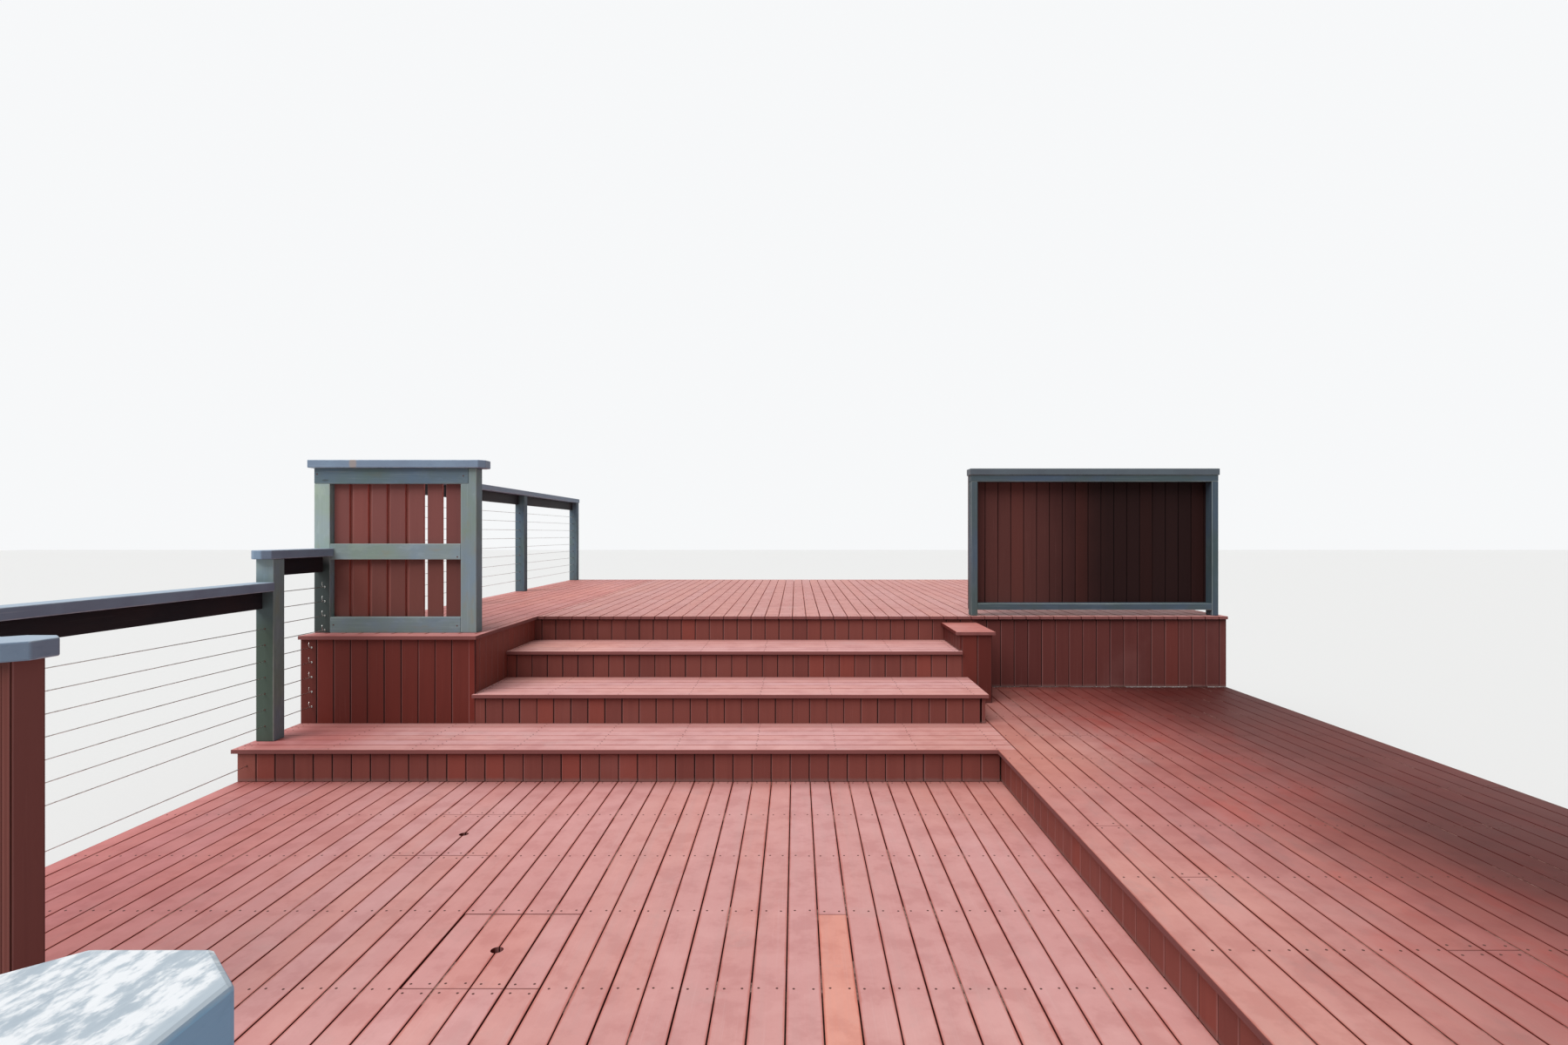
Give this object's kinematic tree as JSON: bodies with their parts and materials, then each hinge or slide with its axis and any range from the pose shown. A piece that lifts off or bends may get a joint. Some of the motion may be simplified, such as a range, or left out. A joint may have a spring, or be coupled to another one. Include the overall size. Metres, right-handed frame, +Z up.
{
  "type": "wooden deck stairs",
  "caption": "Wide timber deck stairs joining a lower deck, a side platform and an upper deck, with a slatted screen, cable guards and a boarded guard.",
  "frame": {"origin": "on the ground, under the middle of the overall length and width", "axes": "+X to the right facing the flight, +Y up the flight towards the upper deck, +Z up"},
  "size_m": [5.724, 9.788, 2.162],
  "materials": {
    "deck_boards": "weathered red-brown decking paint",
    "cladding": "dark maroon paint on upright boards",
    "frame_timber": "rough sawn treated timber",
    "post_paint": "faded grey-green paint",
    "rail_paint": "dark brown-charcoal paint on the rails under the caps",
    "cap_paint": "slate grey paint",
    "cable": "stainless wire rope"
  },
  "bodies": {
    "root": {"stumps": "frame_timber", "bearers": "frame_timber", "flight_beams": "frame_timber", "lower_joists": "frame_timber", "platform_joists": "frame_timber", "upper_joists": "frame_timber", "stringers": "frame_timber", "lower_deck": "deck_boards", "platform_deck": "deck_boards", "platform_border": "deck_boards", "block_deck": "deck_boards", "upper_deck": "deck_boards", "tread_1": "deck_boards", "tread_2": "deck_boards", "tread_3": "deck_boards", "riser_1": "cladding", "riser_2": "cladding", "riser_3": "cladding", "riser_4": "cladding", "block_front": "cladding", "block_side": "cladding", "cheek_wall": "cladding", "platform_fascia": "cladding", "back_wall": "cladding", "lower_fascias": "cladding", "upper_fascias": "cladding", "plinth_sides": "cladding", "plinth_top": "deck_boards", "guard_posts": "post_paint", "boxed_posts": "cladding", "guard_rails": "rail_paint", "guard_caps": "cap_paint", "left_cables": "cable", "front_cables": "cable", "short_cables": "cable", "upper_cables": "cable", "screen_posts": "post_paint", "screen_rails": "post_paint", "front_slats": "cladding", "rear_slats_row": "cladding", "screen_cap": "cap_paint", "boarded_posts": "post_paint", "boarded_rails": "post_paint", "boarded_panel": "cladding", "boarded_cap": "cap_paint"}
  },
  "joints": []
}
